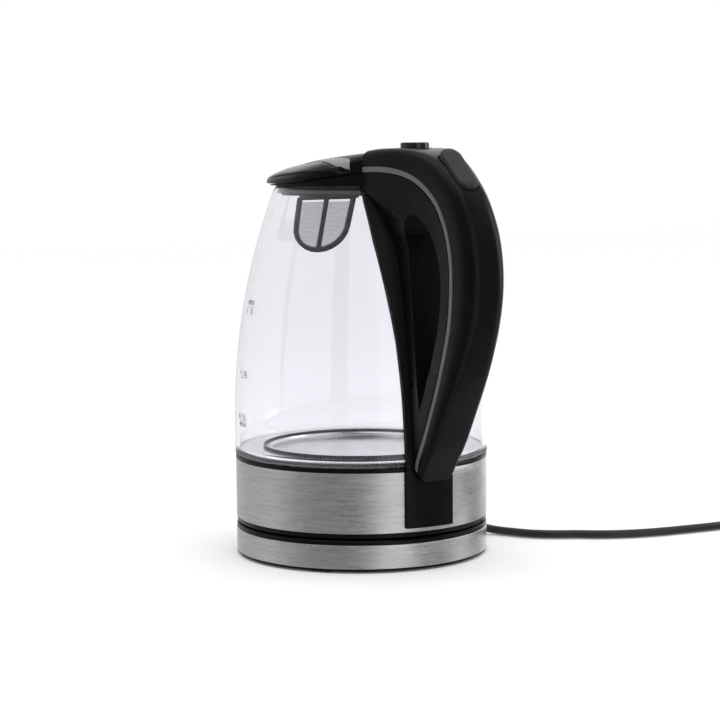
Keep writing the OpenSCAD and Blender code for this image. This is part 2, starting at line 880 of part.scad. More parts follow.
module lid_inlays() {
    color("#a7a7ab")
        for (s = [-1, 1])
            difference() {
                intersection() {
                    translate([0, 0, 0.4])
                        lid_solid();
                    translate([0, 0, 236])
                        linear_extrude(height = 20)
                            polygon([for (p = inlay_plan) [p[0], s * p[1]]]);
                }
                lid_solid();
            }
}

module lid_inner_plate() {
    color("#202023")
        intersection() {
            rotate_extrude()
                polygon([[0, 229], [40.5, 229], [41.5, 230], [41.5, 246], [39.4, 246], [39.4, 231], [0, 231]]);
            union() {
                under_lid(0.05);
                disc(44, 200, 235.95);
            }
        }
}

module lid_seal() {
    color("#c9c6c2")
        difference() {
            intersection() {
                ring(50, 46, 226, 244);
                under_lid(0.05);
            }
            under_lid(1.6);
            translate([44.6, -60, 220])
                cube([20, 120, 40]);
        }
}

module lid_catch() {
    color("#202023")
        translate([44, -4.5, 241.2])
            cube([4.8, 9, 2.2]);
}

// ---- power rocker ----

module rocker() {
    color("#2a2a2e")
        rocker_place(rocker_proud)
            difference() {
                union() {
                    translate([0, 0, -1.6])
                        slot_shape(rocker_l, rocker_w, 3.4);
                    translate([0, 0, 1.8])
                        slot_shape(rocker_l - 1.6, rocker_w - 1.6, 0.7);
                    translate([-3.4, -6, -6.4])
                        cube([6.8, 12, 5]);
                }
                translate([0, 20, -4])
                    rotate([90, 0, 0])
                        cylinder(r = 1.55, h = 40);
            }
}

module rocker_axle() {
    color("#b5b7ba")
        rocker_place(0)
            translate([0, 7.4, -4])
                rotate([90, 0, 0])
                    cylinder(r = 1.5, h = 14.8);
}

module switch_plunger() {
    color("#2c2c30")
        rocker_place(0)
            translate([-2.6, 0, -16])
                cylinder(r = 1.4, h = 9.1, $fn = 24);
}

base_lower_shell();
base_steel_band();
base_upper_shell();
base_feet();
base_screws();
base_connector();
base_contacts();
base_earth_ring();
base_wires();
cord_clamp();
cord_strain_relief();
mains_lead();
lead_coil();
plug_body();
plug_pins();
plug_earth_clips();
jug_bottom_cover();
jug_steel_band();
band_top_ring();
glass_seal();
glass_vessel();
heating_plate();
heat_spreader();
heating_element();
jug_connector();
jug_contacts();
thermostat_control();
thermostat_discs();
bottom_screws();
handle_frame();
handle_outer_shell();
handle_trim();
handle_screws();
neck_collar();
collar_seal();
steam_duct();
steam_disc();
switch_block();
handle_wires();
filter_frame();
filter_mesh();
hinge_bracket();
hinge_pin();
latch_guide();
lid_top();
lid_inlays();
lid_inner_plate();
lid_seal();
lid_catch();
lid_button();
button_spring();
latch_slider();
rocker();
rocker_axle();
switch_plunger();
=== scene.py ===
import json
import math

import bpy
from mathutils import Matrix, Vector


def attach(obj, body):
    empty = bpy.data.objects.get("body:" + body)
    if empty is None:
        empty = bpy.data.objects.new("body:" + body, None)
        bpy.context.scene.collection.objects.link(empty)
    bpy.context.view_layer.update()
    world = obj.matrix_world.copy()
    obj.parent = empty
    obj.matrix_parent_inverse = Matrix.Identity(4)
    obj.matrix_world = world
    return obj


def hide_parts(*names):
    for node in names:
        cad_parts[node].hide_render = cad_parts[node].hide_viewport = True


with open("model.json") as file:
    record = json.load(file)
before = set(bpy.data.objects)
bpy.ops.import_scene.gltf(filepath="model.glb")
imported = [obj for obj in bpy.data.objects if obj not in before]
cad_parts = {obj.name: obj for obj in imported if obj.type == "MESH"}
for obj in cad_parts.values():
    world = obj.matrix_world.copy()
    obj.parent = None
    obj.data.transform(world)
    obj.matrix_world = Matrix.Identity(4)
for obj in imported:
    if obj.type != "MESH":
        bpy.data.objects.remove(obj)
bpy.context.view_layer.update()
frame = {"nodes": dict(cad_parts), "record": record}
nodes = frame["nodes"]
mm = 0.001
print("stage: frame loaded")


def place(obj, body, slotName, material, *stoodFor):
    obj.data.materials.clear()
    obj.data.materials.append(material)
    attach(obj, body)
    if stoodFor:
        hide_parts(*stoodFor)


def makeMesh(name, points, faces, smooth=True, angle=40):
    mesh = bpy.data.meshes.new(name)
    mesh.from_pydata([tuple(c * mm for c in p) for p in points], [], faces)
    mesh.update()
    obj = bpy.data.objects.new(name, mesh)
    bpy.context.scene.collection.objects.link(obj)
    if smooth:
        mesh.shade_smooth()
        mesh.set_sharp_from_angle(angle=math.radians(angle))
    return obj


def lathe(name, profile, steps=160, angle=40):
    # profile is (radius, height) pairs, turned once round the axis
    points, faces = [], []
    for i in range(steps):
        a = math.radians(360.0 * i / steps)
        points += [(r * math.cos(a), r * math.sin(a), z) for r, z in profile]
    n = len(profile)
    for i in range(steps):
        j = (i + 1) % steps
        for k in range(n - 1):
            quad = [i * n + k, j * n + k, j * n + k + 1, i * n + k + 1]
            if profile[k][0] < 1e-6:
                quad = [i * n + k, j * n + k + 1, i * n + k + 1]
            elif profile[k + 1][0] < 1e-6:
                quad = [i * n + k, j * n + k, i * n + k + 1]
            faces.append(quad)
    return makeMesh(name, points, faces, angle=angle)


def loft(name, rings, angle=40):
    # rings of equal length joined in order, closed at both ends
    n = len(rings[0])
    points = [p for r in rings for p in r]
    faces = []
    for i in range(len(rings) - 1):
        for k in range(n):
            m = (k + 1) % n
            faces.append([i * n + k, i * n + m, (i + 1) * n + m, (i + 1) * n + k])
    faces.append(list(range(n - 1, -1, -1)))
    faces.append([(len(rings) - 1) * n + k for k in range(n)])
    return makeMesh(name, points, faces, angle=angle)


def bevelled(obj, width, segments, limit):
    mod = obj.modifiers.new("edges", "BEVEL")
    mod.width = width * mm
    mod.segments = segments
    mod.limit_method = "ANGLE"
    mod.angle_limit = math.radians(limit)
    mod.harden_normals = True
    return obj


def curvePoint(pts, i, t):
    a, b = pts[max(0, i - 1)], pts[i]
    c, d = pts[i + 1], pts[min(len(pts) - 1, i + 2)]
    return tuple(
        0.5 * (2 * q + (r - p) * t + (2 * p - 5 * q + 4 * r - s) * t * t + (3 * q - 3 * r + s - p) * t ** 3)
        for p, q, r, s in zip(a, b, c, d)
    )


def smoothLine(pts, n):
    out = [curvePoint(pts, i, k / n) for i in range(len(pts) - 1) for k in range(n)]
    return out + [tuple(pts[-1])]


def lineObject(name, pts, radius, resolution):
    curve = bpy.data.curves.new(name, "CURVE")
    curve.dimensions = "3D"
    spline = curve.splines.new("POLY")
    spline.points.add(len(pts) - 1)
    for point, p in zip(spline.points, pts):
        point.co = (p[0] * mm, p[1] * mm, p[2] * mm, 1)
    spline.use_smooth = True
    curve.bevel_depth = radius * mm
    curve.bevel_resolution = resolution
    curve.use_fill_caps = True
    obj = bpy.data.objects.new(name, curve)
    bpy.context.scene.collection.objects.link(obj)
    return obj


def toMesh(obj):
    bpy.context.view_layer.update()
    mesh = bpy.data.meshes.new_from_object(obj.evaluated_get(bpy.context.evaluated_depsgraph_get()))
    name = obj.name
    bpy.data.objects.remove(obj)
    made = bpy.data.objects.new(name, mesh)
    bpy.context.scene.collection.objects.link(made)
    mesh.shade_smooth()
    return made


def joined(name, objs):
    points, faces = [], []
    for o in objs:
        base = len(points)
        points += [o.matrix_world @ v.co for v in o.data.vertices]
        faces += [[base + i for i in p.vertices] for p in o.data.polygons]
        bpy.data.objects.remove(o)
    return makeMesh(name, [tuple(c / mm for c in p) for p in points], faces)


# camera
cameraSettings = {
    "distance": 1286.18, "height": 252.03, "across": -0.288,
    "azimuth": 59.2, "pitch": 0.10086, "roll": -0.0082854, "lens": 101.44,
}


def makeCamera(s):
    az = math.radians(s["azimuth"])
    right = Vector((math.cos(az), math.sin(az), 0))
    back = Vector((math.sin(az), -math.cos(az), 0))
    spot = back * s["distance"] + right * s["across"] + Vector((0, 0, s["height"]))
    fw = -back * math.cos(s["pitch"]) + Vector((0, 0, -math.sin(s["pitch"])))
    up = Vector((0, 0, math.cos(s["pitch"]))) - back * math.sin(s["pitch"])
    c, sn = math.cos(s["roll"]), math.sin(s["roll"])
    x, y = right * c + up * sn, up * c - right * sn
    data = bpy.data.cameras.new("camera")
    data.sensor_width = 36
    data.lens = s["lens"]
    data.clip_start, data.clip_end = 0.05, 20
    cam = bpy.data.objects.new("camera", data)
    bpy.context.scene.collection.objects.link(cam)
    cam.matrix_world = Matrix((
        (x[0], y[0], -fw[0], spot[0] * mm),
        (x[1], y[1], -fw[1], spot[1] * mm),
        (x[2], y[2], -fw[2], spot[2] * mm),
        (0, 0, 0, 1),
    ))
    bpy.context.scene.camera = cam


makeCamera(cameraSettings)
print("stage: camera")


# materials
def newMaterial(name):
    mat = bpy.data.materials.new(name)
    mat.use_nodes = True
    tree = mat.node_tree
    return mat, tree, tree.nodes["Principled BSDF"]


def addNode(tree, kind, **values):
    n = tree.nodes.new(kind)
    for key, value in values.items():
        setattr(n, key, value)
    return n


def noiseFrom(tree, coord, scale, stretch=(1, 1, 1), detail=3.0, rough=0.5):
    mapping = addNode(tree, "ShaderNodeMapping")
    mapping.inputs["Scale"].default_value = stretch
    tree.links.new(coord, mapping.inputs["Vector"])
    noise = addNode(tree, "ShaderNodeTexNoise")
    noise.inputs["Scale"].default_value = scale
    noise.inputs["Detail"].default_value = detail
    noise.inputs["Roughness"].default_value = rough
    tree.links.new(mapping.outputs["Vector"], noise.inputs["Vector"])
    return noise.outputs["Fac"]


def ranged(tree, value, low, high, fromLow=0.3, fromHigh=0.7):
    r = addNode(tree, "ShaderNodeMapRange")
    r.inputs["From Min"].default_value = fromLow
    r.inputs["From Max"].default_value = fromHigh
    r.inputs["To Min"].default_value = low
    r.inputs["To Max"].default_value = high
    tree.links.new(value, r.inputs["Value"])
    return r.outputs["Result"]


def colourMix(tree, value, dark, light):
    m = addNode(tree, "ShaderNodeMix", data_type="RGBA")
    m.inputs[6].default_value = (*dark, 1)
    m.inputs[7].default_value = (*light, 1)
    tree.links.new(value, m.inputs[0])
    return m.outputs[2]


def bumpOn(tree, shader, value, strength, distance):
    b = addNode(tree, "ShaderNodeBump")
    b.inputs["Strength"].default_value = strength
    b.inputs["Distance"].default_value = distance
    tree.links.new(value, b.inputs["Height"])
    tree.links.new(b.outputs["Normal"], shader.inputs["Normal"])


def mouldedPlastic(name, s):
    mat, tree, shader = newMaterial(name)
    coord = addNode(tree, "ShaderNodeTexCoord").outputs["Object"]
    patch = noiseFrom(tree, coord, 38, detail=4)
    grain = noiseFrom(tree, coord, s["grainScale"], detail=2)
    tree.links.new(colourMix(tree, patch, s["dark"], s["light"]), shader.inputs["Base Color"])
    tree.links.new(ranged(tree, patch, s["rough"][0], s["rough"][1]), shader.inputs["Roughness"])
    shader.inputs["Specular IOR Level"].default_value = s.get("specular", 0.5)
    bumpOn(tree, shader, grain, s["bump"], s["grainDepth"])
    return mat


def turnedSteel(name, s):
    # fine lines run around the axis for a band, or in circles for a plate
    mat, tree, shader = newMaterial(name)
    coord = addNode(tree, "ShaderNodeTexCoord").outputs["Object"]
    split = addNode(tree, "ShaderNodeSeparateXYZ")
    tree.links.new(coord, split.inputs[0])
    angle = addNode(tree, "ShaderNodeMath", operation="ARCTAN2")
    tree.links.new(split.outputs["Y"], angle.inputs[0])
    tree.links.new(split.outputs["X"], angle.inputs[1])
    radius = addNode(tree, "ShaderNodeVectorMath", operation="LENGTH")
    flat = addNode(tree, "ShaderNodeCombineXYZ")
    tree.links.new(split.outputs["X"], flat.inputs["X"])
    tree.links.new(split.outputs["Y"], flat.inputs["Y"])
    tree.links.new(flat.outputs[0], radius.inputs[0])
    around = addNode(tree, "ShaderNodeCombineXYZ")
    tree.links.new(angle.outputs[0], around.inputs["X"])
    tree.links.new(split.outputs["Z"], around.inputs["Y"])
    tree.links.new(radius.outputs["Value"], around.inputs["Z"])
    fine = noiseFrom(tree, around.outputs[0], 1.0, s["stretch"], detail=3, rough=0.65)
    wide = noiseFrom(tree, around.outputs[0], 1.0, tuple(c * 0.22 for c in s["stretch"]), detail=2)
    cloud = noiseFrom(tree, around.outputs[0], 1.0, s["cloud"], detail=2)
    blend = addNode(tree, "ShaderNodeMath", operation="MULTIPLY_ADD")
    tree.links.new(fine, blend.inputs[0])
    blend.inputs[1].default_value = 0.6
    half = addNode(tree, "ShaderNodeMath", operation="MULTIPLY")
    tree.links.new(wide, half.inputs[0])
    half.inputs[1].default_value = 0.4
    tree.links.new(half.outputs[0], blend.inputs[2])
    lines = blend.outputs[0]
    contrast = ranged(tree, lines, 0, 1, 0.36, 0.64)
    tree.links.new(colourMix(tree, contrast, s["dark"], s["light"]), shader.inputs["Base Color"])
    rough = addNode(tree, "ShaderNodeMath", operation="ADD")
    tree.links.new(ranged(tree, lines, s["rough"][0], s["rough"][1]), rough.inputs[0])
    tree.links.new(ranged(tree, cloud, -0.04, 0.04), rough.inputs[1])
    tree.links.new(rough.outputs[0], shader.inputs["Roughness"])
    shader.inputs["Metallic"].default_value = 1.0
    shader.inputs["Anisotropic"].default_value = s["anisotropic"]
    tangent = addNode(tree, "ShaderNodeTangent", direction_type="RADIAL", axis="Z")
    tree.links.new(tangent.outputs[0], shader.inputs["Tangent"])
    bumpOn(tree, shader, lines, s["bump"], s["depth"])
    return mat


def plainMetal(name, dark, light, rough):
    mat, tree, shader = newMaterial(name)
    coord = addNode(tree, "ShaderNodeTexCoord").outputs["Object"]
    patch = noiseFrom(tree, coord, 120, detail=4)
    tree.links.new(colourMix(tree, patch, dark, light), shader.inputs["Base Color"])
    tree.links.new(ranged(tree, patch, rough * 0.75, rough * 1.3), shader.inputs["Roughness"])
    shader.inputs["Metallic"].default_value = 1.0
    bumpOn(tree, shader, noiseFrom(tree, coord, 900, detail=2), 0.12, 0.0001)
    return mat


def clearMaterial(name, s):
    mat, tree, shader = newMaterial(name)
    coord = addNode(tree, "ShaderNodeTexCoord").outputs["Object"]
    wave = noiseFrom(tree, coord, s["waveScale"], detail=1)
    tree.links.new(colourMix(tree, wave, s["dark"], s["light"]), shader.inputs["Base Color"])
    tree.links.new(ranged(tree, wave, s["rough"][0], s["rough"][1]), shader.inputs["Roughness"])
    shader.inputs["Transmission Weight"].default_value = 1.0
    shader.inputs["IOR"].default_value = s["ior"]
    bumpOn(tree, shader, wave, s["bump"], s["depth"])
    return mat


def printedInk(name, dark, light):
    mat, tree, shader = newMaterial(name)
    coord = addNode(tree, "ShaderNodeTexCoord").outputs["Object"]
    tree.links.new(colourMix(tree, noiseFrom(tree, coord, 700), dark, light), shader.inputs["Base Color"])
    tree.links.new(ranged(tree, noiseFrom(tree, coord, 300), 0.35, 0.5), shader.inputs["Roughness"])
    return mat


satinBlack = mouldedPlastic("satinBlack", {
    "dark": (0.002, 0.002, 0.0023), "light": (0.0032, 0.0032, 0.0036), "rough": (0.26, 0.34),
    "grainScale": 2600, "grainDepth": 0.00004, "bump": 0.12, "specular": 0.12,
})
glossBlack = mouldedPlastic("glossBlack", {
    "dark": (0.003, 0.003, 0.0035), "light": (0.0045, 0.0045, 0.005), "rough": (0.08, 0.14),
    "grainScale": 900, "grainDepth": 0.00002, "bump": 0.1, "specular": 0.5,
})
matBlack = mouldedPlastic("matBlack", {
    "dark": (0.008, 0.0076, 0.0084), "light": (0.012, 0.0112, 0.0124), "rough": (0.45, 0.55),
    "grainScale": 3400, "grainDepth": 0.00008, "bump": 0.4, "specular": 0.4,
})
trimGrey = mouldedPlastic("trimGrey", {
    "dark": (0.075, 0.073, 0.077), "light": (0.1, 0.098, 0.103), "rough": (0.36, 0.46),
    "grainScale": 2400, "grainDepth": 0.00004, "bump": 0.2,
})
inlayGrey = mouldedPlastic("inlayGrey", {
    "dark": (0.19, 0.19, 0.2), "light": (0.28, 0.28, 0.29), "rough": (0.22, 0.32),
    "grainScale": 2000, "grainDepth": 0.00003, "bump": 0.15,
})
creamPlastic = mouldedPlastic("creamPlastic", {
    "dark": (0.62, 0.58, 0.48), "light": (0.72, 0.68, 0.58), "rough": (0.4, 0.55),
    "grainScale": 1800, "grainDepth": 0.00005, "bump": 0.2,
})
footRubber = mouldedPlastic("footRubber", {
    "dark": (0.014, 0.014, 0.014), "light": (0.022, 0.022, 0.022), "rough": (0.6, 0.75),
    "grainScale": 1900, "grainDepth": 0.0001, "bump": 0.4,
})
leadRubber = mouldedPlastic("leadRubber", {
    "dark": (0.009, 0.009, 0.0095), "light": (0.015, 0.015, 0.016), "rough": (0.38, 0.5),
    "grainScale": 1700, "grainDepth": 0.00006, "bump": 0.25,
})
wireCover = mouldedPlastic("wireCover", {
    "dark": (0.3, 0.11, 0.04), "light": (0.38, 0.16, 0.07), "rough": (0.5, 0.6),
    "grainScale": 1500, "grainDepth": 0.00004, "bump": 0.2,
})
softSeal = mouldedPlastic("softSeal", {
    "dark": (0.02, 0.02, 0.022), "light": (0.035, 0.034, 0.037), "rough": (0.3, 0.45),
    "grainScale": 1500, "grainDepth": 0.00005, "bump": 0.2,
})
meshCloth = mouldedPlastic("meshCloth", {
    "dark": (0.42, 0.41, 0.42), "light": (0.55, 0.54, 0.55), "rough": (0.4, 0.6),
    "grainScale": 2400, "grainDepth": 0.00004, "bump": 0.2,
})
bandSteel = turnedSteel("bandSteel", {
    "dark": (0.46, 0.45, 0.465), "light": (0.70, 0.69, 0.705), "rough": (0.24, 0.36), "anisotropic": 0.75,
    "stretch": (14, 2600, 0.001), "cloud": (3, 60, 0.001), "bump": 0.12, "depth": 0.00006,
})
plateSteel = turnedSteel("plateSteel", {
    "dark": (0.68, 0.68, 0.70), "light": (0.86, 0.86, 0.88), "rough": (0.16, 0.26), "anisotropic": 0.5,
    "stretch": (6, 0.001, 1500), "cloud": (2, 0.001, 60), "bump": 0.08, "depth": 0.00005,
})
brightSteel = plainMetal("brightSteel", (0.5, 0.5, 0.51), (0.66, 0.66, 0.67), 0.25)
brassMetal = plainMetal("brassMetal", (0.58, 0.42, 0.16), (0.74, 0.58, 0.26), 0.28)
spreaderMetal = plainMetal("spreaderMetal", (0.5, 0.5, 0.51), (0.62, 0.62, 0.63), 0.45)
jugGlass = clearMaterial("jugGlass", {
    "dark": (0.9, 0.885, 0.925), "light": (0.915, 0.903, 0.94), "rough": (0.0, 0.008),
    "ior": 1.47, "waveScale": 9, "bump": 0.04, "depth": 0.0004,
})
clearRubber = clearMaterial("clearRubber", {
    "dark": (0.84, 0.84, 0.86), "light": (0.93, 0.93, 0.95), "rough": (0.05, 0.16),
    "ior": 1.42, "waveScale": 420, "bump": 0.2, "depth": 0.0002,
})
markInk = printedInk("markInk", (0.05, 0.05, 0.055), (0.09, 0.09, 0.095))
print("stage: materials")


# mains lead
leadSettings = {
    "diameter": 5.4, "coilX": 110.0, "coilY": 280.0, "outerTurn": 33.6, "innerTurn": 28.2,
    "topTurn": 31.0, "floorHeight": 2.9, "crossHeight": 8.4, "turns": 2.256,
    "start": [(0, 85.5, 6.9), (0.3, 89.5, 6.2), (2, 93.5, 4.6), (7, 99, 3.2), (17, 104.5, 2.9), (30, 112, 2.9),
              (40, 123, 2.9), (48, 136, 2.9), (57.5, 149, 2.9), (65, 164, 2.9), (70.5, 184, 2.9), (73.5, 208, 2.9),
              (75.6, 234, 2.9), (76.3, 258, 2.9)],
    "tail": [(120, 313.8, 9), (127, 313.8, 12.4), (134, 313.8, 16.6), (141, 313.8, 18.8), (146, 313.8, 19)],
}


def ease(t, a, b):
    u = min(1.0, max(0.0, (t - a) / (b - a)))
    return u * u * (3 - 2 * u)


def coilPoint(s, t):
    r = s["outerTurn"] + (s["innerTurn"] - s["outerTurn"]) * ease(t, 0.76, 1.0)
    r += (s["topTurn"] - s["innerTurn"]) * ease(t, 1.52, 1.76)
    r += (s["outerTurn"] - s["topTurn"]) * ease(t, 2.02, s["turns"])
    z = s["floorHeight"] + (s["crossHeight"] - s["floorHeight"]) * ease(t, 1.5, 1.74)
    a = math.pi - 2 * math.pi * t
    return (s["coilX"] + r * math.cos(a), s["coilY"] + r * math.sin(a), z)


coilLine = [coilPoint(leadSettings, leadSettings["turns"] * i / 110) for i in range(111)]
leadLine = smoothLine(leadSettings["start"] + coilLine[::5] + leadSettings["tail"], 5)
leadObject = lineObject("leadFlex", leadLine, leadSettings["diameter"] / 2, resolution=8)
place(leadObject, "power_base", "lead_rubber", leadRubber, "mains_lead", "lead_coil")


# plug
plugSettings = {"y": 313.8, "z": 19.0, "ribs": 5, "pinOffset": 9.5, "gripRibs": 4, "gripPitch": 3.2}


def turnedX(name, profile, y, z, steps=96):
    obj = lathe(name, profile, steps)
    obj.data.transform(Matrix.Translation((0, y * mm, z * mm)) @ Matrix.Rotation(math.radians(90), 4, "Y"))
    return obj


def makePlug(s):
    profile = [(2.75, 139.5), (4.2, 139.8), (4.7, 141.0)]
    for i in range(s["ribs"]):
        x = 142.0 + i * 1.7
        profile += [(4.6, x), (5.2, x + 0.3), (5.2, x + 0.9), (4.2, x + 1.1)]
    profile += [(5.6, 150.6), (7.5, 151.2), (10.5, 152.3), (13.5, 154.2), (15.6, 156.6), (17.0, 159.4), (17.4, 162.0),
                (17.4, 163.8), (18.0, 164.3), (18.6, 165.4), (18.6, 176.6), (18.3, 177.6), (17.6, 178.0), (13.0, 178.0),
                (12.6, 177.6), (0.0, 177.6)]
    shell = turnedX("plugShell", profile, s["y"], s["z"])
    place(shell, "power_base", "lead_rubber", leadRubber, "plug_body")
    flank = ((160.5, 16.6), (163, 17.1), (166, 18.35), (170, 18.5), (174.5, 18.5))
    ribs = []
    for side in (-1, 1):
        for i in range(s["gripRibs"]):
            z = s["z"] + (i - (s["gripRibs"] - 1) / 2) * s["gripPitch"]
            pts = [(x, s["y"] + side * (r - 0.1), z) for x, r in flank]
            ribs.append(toMesh(lineObject("rib", pts, 0.55, resolution=3)))
    place(joined("plugRibs", ribs), "power_base", "lead_rubber", leadRubber)
    pinProfile = [(0, 176), (2.35, 176), (2.4, 178.6), (2.4, 195.2), (2.1, 196.2), (1.4, 196.9), (0, 197)]
    sleeveProfile = [(2.4, 177.4), (3.3, 177.4), (3.3, 178.0), (2.9, 178.5), (2.42, 178.6)]
    for side in (-1, 1):
        tag = "A" if side < 0 else "B"
        y = s["y"] + side * s["pinOffset"]
        pin = turnedX("plugPin" + tag, pinProfile, y, s["z"], 40)
        place(pin, "power_base", "pin_nickel", brightSteel, *(["plug_pins"] if side < 0 else []))
        place(turnedX("pinSleeve" + tag, sleeveProfile, y, s["z"], 40), "power_base", "lead_rubber", leadRubber)


makePlug(plugSettings)
print("stage: plug")


# glass
jugSettings = {
    "radius": 80.0, "wall": 2.6, "low": 67.0, "rim": 233.0,
    "shoulder": 25.4, "shoulderFrom": 85, "shoulderRise": 143, "shoulderPower": 2.06,
    "lipPush": 15.5, "lipHalfAngle": 26, "lipFrom": 200,
}


def glassR(z):
    s = jugSettings
    up = max(0.0, (z - s["shoulderFrom"]) / s["shoulderRise"])
    return s["radius"] + 0.4 - s["shoulder"] * up ** s["shoulderPower"]


def spoutPush(angle, z):
    # how far the lip stands out of the round wall
    s = jugSettings
    away = math.degrees(abs(math.atan2(math.sin(angle - math.pi), math.cos(angle - math.pi))))
    spread = max(0.0, 1 - (away / s["lipHalfAngle"]) ** 2)
    lift = max(0.0, (z - s["lipFrom"]) / (s["rim"] - s["lipFrom"]))
    return s["lipPush"] * spread ** 1.6 * lift ** 1.7


def makeGlass(s):
    w, top, low = s["wall"], s["rim"], s["low"]
    inside = glassR(low) - w
    heights = [low + (top - low) * i / 60 for i in range(1, 60)]
    steps = 240
    rings = []
    for i in range(steps):
        a = 2 * math.pi * i / steps
        ring = [(glassR(z) + spoutPush(a, z), z) for z in [low + 0.5] + heights]
        rr = glassR(top) + spoutPush(a, top)
        ring += [(rr - 0.1, top - 0.9), (rr - 0.5, top - 0.3), (rr - 1.3, top), (rr - 2.1, top - 0.3)]
        ring += [(rr - 2.5, top - 0.9)]
        ring += [(glassR(z) - w + spoutPush(a, z), z) for z in reversed(heights)]
        ring += [(inside, low + 0.5), (inside + 0.5, low), (glassR(low) - 0.5, low)]
        rings.append([(r * math.cos(a), r * math.sin(a), z) for r, z in ring])
    n = len(rings[0])
    points = [p for r in rings for p in r]
    faces = []
    for i in range(steps):
        j = (i + 1) % steps
        for k in range(n):
            m = (k + 1) % n
            faces.append([i * n + k, j * n + k, j * n + m, i * n + m])
    return makeMesh("glassJug", points, faces, angle=60)


glassJug = makeGlass(jugSettings)
place(glassJug, "jug", "jug_glass", jugGlass, "glass_vessel")


# level marks
strokes = {
    "0": [[(0, 0), (1, 0), (1, 2), (0, 2), (0, 0)]], "1": [[(0.2, 1.6), (0.6, 2), (0.6, 0)]],
    "5": [[(1, 2), (0, 2), (0, 1.1), (0.8, 1.1), (1, 0.8), (1, 0.2), (0.8, 0), (0, 0)]],
    "7": [[(0, 2), (1, 2), (0.4, 0)]], ".": [[(0.4, 0), (0.6, 0)]], "L": [[(0, 2), (0, 0), (0.9, 0)]],
    "M": [[(0, 0), (0, 2), (0.5, 1), (1, 2), (1, 0)]], "A": [[(0, 0), (0.5, 2), (1, 0)], [(0.2, 0.8), (0.8, 0.8)]],
    "X": [[(0, 0), (1, 2)], [(0, 2), (1, 0)]], "I": [[(0.5, 0), (0.5, 2)]], "N": [[(0, 0), (0, 2), (1, 0), (1, 2)]],
}
markSettings = {
    "angle": -97.0, "height": 2.8, "wide": 1.5, "stroke": 0.16, "proud": 0.05, "arcRadius": 74.0,
    "rows": [("MAX", 159.9), ("1.7L", 154.3), ("1.0L", 115.9), ("0.5L", 88.9), ("MIN", 83.9)],
    "bars": [158.4, 114.6, 87.8],
}


def onGlass(angle, z):
    r = glassR(z) + markSettings["proud"]
    a = math.radians(angle)
    return (r * math.cos(a), r * math.sin(a), z)


def makeMarks(s):
    made = []
    size = s["height"] / 2
    wide = size * s["wide"]
    perMm = math.degrees(1 / s["arcRadius"])
    for text, z in s["rows"]:
        x = -len(text) * size * 0.75 * s["wide"]
        for left, corners in [(x + 1.5 * wide * n, part) for n, ch in enumerate(text) for part in strokes[ch]]:
            pts = []
            for (x0, y0), (x1, y1) in zip(corners, corners[1:]):
                for t in (0, 0.25, 0.5, 0.75):
                    along = left + (x0 + (x1 - x0) * t) * wide
                    pts.append(onGlass(s["angle"] + along * perMm, z + (y0 + (y1 - y0) * t) * size))
            pts.append(onGlass(s["angle"] + (left + corners[-1][0] * wide) * perMm, z + corners[-1][1] * size))
            made.append(toMesh(lineObject("stroke", pts, s["stroke"], resolution=1)))
    for z in s["bars"]:
        pts = [onGlass(s["angle"] + (-5 + k) * perMm, z) for k in range(11)]
        made.append(toMesh(lineObject("bar", pts, s["stroke"], resolution=1)))
    return joined("levelMarks", made)


place(makeMarks(markSettings), "jug", "satin_black", markInk)
print("stage: glass and marks")


# beaded seal and plate
sealSettings = {
    "beads": 190, "radius": 79.2, "beadR": 1.25, "squash": 0.8, "rows": ((65.1, 0.0), (66.6, 0.5)),
    "body": [(73, 64.05), (79.3, 64.05), (79.5, 64.6), (79.4, 66.4), (79.0, 66.95), (73, 66.95), (73, 64.05)],
}
plateSettings = {
    "plate": [(0, 65.7), (20, 65.65), (40, 65.62), (55, 65.6), (58.6, 65.7), (59.3, 66.1), (59.7, 66.9),
              (60.1, 67.7), (60.8, 68.0), (70, 68.0), (74.6, 68.0), (76.6, 68.2), (77.2, 67.8), (77.2, 67.1),
              (60.9, 67.0), (60.7, 64.7), (0, 64.6)],
    "wellWall": [(60.9, 67.5), (61.0, 69.4), (62.1, 69.5), (62.3, 67.9)],
    "wellBeads": 170, "wellRadius": 61.4, "wellHeight": 68.4, "wellBeadR": 1.0, "wellSquash": 0.9,
}


def sphereMesh(name, centres, r, squashZ):
    points, faces = [], []
    for cx, cy, cz in centres:
        base = len(points)
        points.append((cx, cy, cz + r * squashZ))
        for i in (1, 2, 3, 4):
            lat = math.pi * i / 5
            for k in range(8):
                lon = 2 * math.pi * k / 8
                flat = r * math.sin(lat)
                z = cz + r * squashZ * math.cos(lat)
                points.append((cx + flat * math.cos(lon), cy + flat * math.sin(lon), z))
        points.append((cx, cy, cz - r * squashZ))
        for k in range(8):
            m = (k + 1) % 8
            faces.append([base, base + 1 + k, base + 1 + m])
            for i in range(3):
                row = base + 1 + i * 8
                faces.append([row + k, row + 8 + k, row + 8 + m, row + m])
            faces.append([base + 33, base + 25 + m, base + 25 + k])
    return makeMesh(name, points, faces, angle=80)


def beadRing(name, r, z, count, size, phase, squashZ):
    turns = [2 * math.pi * (i + phase) / count for i in range(count)]
    return sphereMesh(name, [(r * math.cos(a), r * math.sin(a), z) for a in turns], size, squashZ)


def makeSeal(s):
    place(lathe("sealBody", s["body"], 180), "jug", "clear_seal", clearRubber, "glass_seal")
    for row, (z, phase) in enumerate(s["rows"]):
        beads = beadRing("sealBeads" + str(row), s["radius"], z, s["beads"], s["beadR"], phase, s["squash"])
        place(beads, "jug", "clear_seal", clearRubber)


